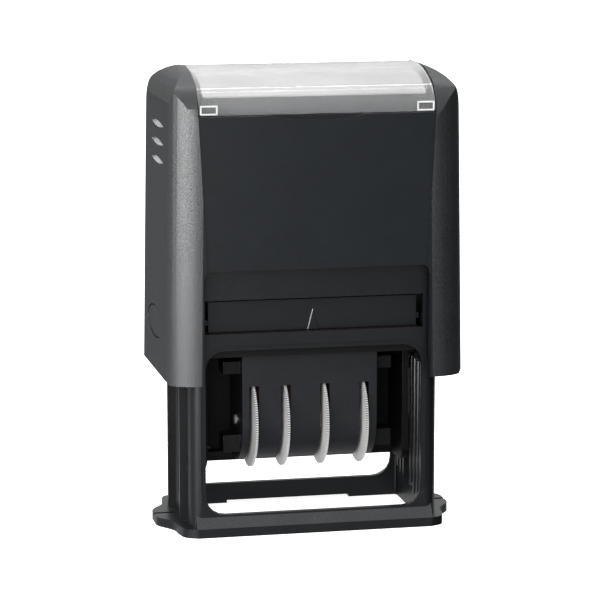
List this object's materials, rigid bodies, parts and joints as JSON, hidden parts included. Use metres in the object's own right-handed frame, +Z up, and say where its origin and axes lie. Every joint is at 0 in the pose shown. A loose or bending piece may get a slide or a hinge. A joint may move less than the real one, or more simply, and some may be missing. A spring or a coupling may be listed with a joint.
{
  "type": "rotary date stamp",
  "caption": "Self-inking rotary date stamp: a casing pushed down over a frame turns a print unit with date wheels from the ink pad down to the paper.",
  "frame": {"origin": "centre of the foot's underside, on the desk", "axes": "+Z up, +X to the right along the stamp's width, -Y towards the front with the wider view of the wheels"},
  "size_m": [0.063, 0.0352, 0.0961],
  "materials": {
    "frame_plastic": "fine grain, satin",
    "casing_plastic": "satin, fine grain on the shoulders",
    "drawer_plastic": "satin",
    "hood_plastic": "satin",
    "clear_plastic": "clear, polished",
    "card": "matt card",
    "inked_felt": "damp felt",
    "spring_steel": "drawn wire",
    "wheel_plastic": "white, satin",
    "band_rubber": "matt",
    "stamp_rubber": "matt",
    "foam": "closed cell foam"
  },
  "bodies": {
    "frame": {"base_frame": "frame_plastic", "return_spring": "spring_steel"},
    "ink_drawer": {"ink_pad_tray": "drawer_plastic", "ink_pad_felt": "inked_felt"},
    "casing": {"outer_casing": "casing_plastic", "index_card": "card", "drive_yoke": "frame_plastic"},
    "cover": {"index_cover": "clear_plastic"},
    "left_button": {"lock_button_left": "casing_plastic"},
    "right_button": {"lock_button_right": "casing_plastic"},
    "print_unit": {"die_carrier": "frame_plastic", "wheel_hood": "hood_plastic", "wheel_axle": "spring_steel", "band_former": "frame_plastic", "plate_cushion": "foam", "text_plate": "stamp_rubber", "month_band": "band_rubber", "day_tens_band": "band_rubber", "day_units_band": "band_rubber", "year_band": "band_rubber"},
    "month_wheel": {"month_wheel": "wheel_plastic"},
    "day_tens_wheel": {"day_tens_wheel": "wheel_plastic"},
    "day_units_wheel": {"day_units_wheel": "wheel_plastic"},
    "year_wheel": {"year_wheel": "wheel_plastic"}
  },
  "joints": [
    {"name": "casing_press", "type": "slide", "parent": "frame", "child": "casing", "axis": [0, 0, -1], "range_m": [0, 0.0286], "stiffness_N_per_m": 350, "springref_m": -0.012, "deforming": ["return_spring"]},
    {"name": "unit_flip", "type": "hinge", "parent": "casing", "child": "print_unit", "pos_m": [0, 0, 0.03545], "axis": [1, 0, 0], "range_deg": [-180.5, 0]},
    {"name": "ink_drawer_slide", "type": "slide", "parent": "frame", "child": "ink_drawer", "axis": [0, 1, 0], "range_m": [-0.024, 0]},
    {"name": "cover_lift", "type": "slide", "parent": "casing", "child": "cover", "axis": [0, 0, 1], "range_m": [0, 0.012]},
    {"name": "left_button_press", "type": "slide", "parent": "casing", "child": "left_button", "axis": [1, 0, 0], "range_m": [0, 0.0008], "stiffness_N_per_m": 400},
    {"name": "right_button_press", "type": "slide", "parent": "casing", "child": "right_button", "axis": [-1, 0, 0], "range_m": [0, 0.0008], "stiffness_N_per_m": 400},
    {"name": "month_wheel_turn", "type": "hinge", "parent": "print_unit", "child": "month_wheel", "pos_m": [-0.0118, -0.0027, 0.02195], "axis": [1, 0, 0], "continuous": true},
    {"name": "day_tens_wheel_turn", "type": "hinge", "parent": "print_unit", "child": "day_tens_wheel", "pos_m": [-0.0051, -0.0027, 0.02195], "axis": [1, 0, 0], "continuous": true},
    {"name": "day_units_wheel_turn", "type": "hinge", "parent": "print_unit", "child": "day_units_wheel", "pos_m": [0.0032, -0.0027, 0.02195], "axis": [1, 0, 0], "continuous": true},
    {"name": "year_wheel_turn", "type": "hinge", "parent": "print_unit", "child": "year_wheel", "pos_m": [0.0116, -0.0027, 0.02195], "axis": [1, 0, 0], "continuous": true}
  ],
  "couplings": [
    {"joint": "unit_flip", "follows": "casing_press", "rad_per_m": -109.85}
  ]
}
